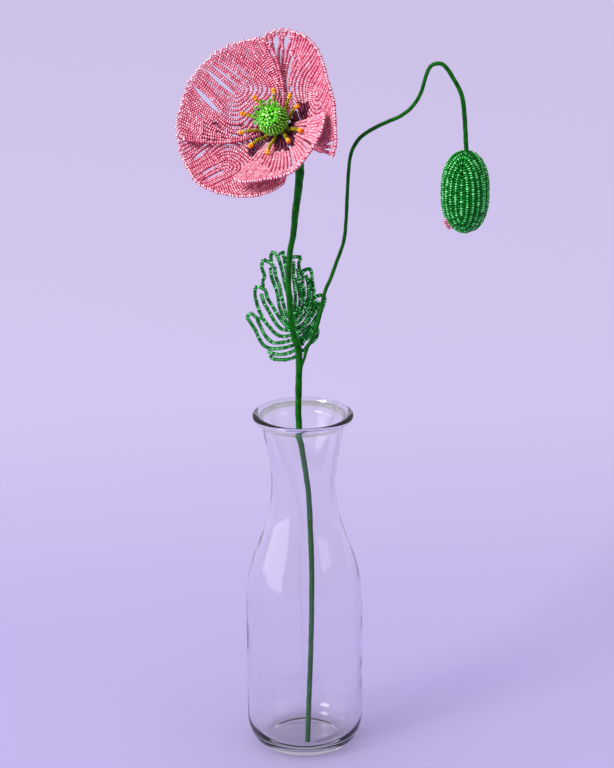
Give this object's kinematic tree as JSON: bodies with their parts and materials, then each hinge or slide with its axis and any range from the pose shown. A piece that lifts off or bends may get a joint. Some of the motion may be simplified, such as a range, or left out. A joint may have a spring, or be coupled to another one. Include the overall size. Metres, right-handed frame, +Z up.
{
  "type": "beaded poppy flower in a glass bottle",
  "caption": "Pink glass-bead poppy with a green seed pod, a hanging bud and a lobed leaf on tape-wrapped wire stems, standing loose in a clear glass bottle",
  "frame": {"origin": "middle of the bottle's flat underside", "axes": "+Z up along the bottle; the flower faces towards -Y, to the left and up; the bud hangs on the +X side"},
  "size_m": [0.2147, 0.1111, 0.5156],
  "materials": {
    "clear_glass": "clear polished bottle glass",
    "green_tape": "waxed green floral tape wound over wire",
    "pink_beads": "pearly pink glass seed beads",
    "lime_beads": "glossy lime green glass seed beads",
    "olive_beads": "glossy olive glass seed beads with amber tips",
    "green_beads": "glossy dark green glass seed beads"
  },
  "bodies": {
    "root": {"glass_bottle": "clear_glass", "main_stem": "green_tape", "bud_stem": "green_tape", "petal_upper_left": "pink_beads", "petal_upper_right": "pink_beads", "petal_lower_right": "pink_beads", "petal_lower_left": "pink_beads", "seed_pod": "lime_beads", "pod_crown": "lime_beads", "stamen_01": "olive_beads", "stamen_02": "olive_beads", "stamen_03": "olive_beads", "stamen_04": "olive_beads", "stamen_05": "olive_beads", "stamen_06": "olive_beads", "stamen_07": "olive_beads", "stamen_08": "olive_beads", "stamen_09": "olive_beads", "stamen_10": "olive_beads", "leaf": "green_beads", "bud_sepal_front": "green_beads", "bud_sepal_right": "green_beads", "bud_sepal_back": "green_beads", "bud_petals": "pink_beads"}
  },
  "joints": []
}
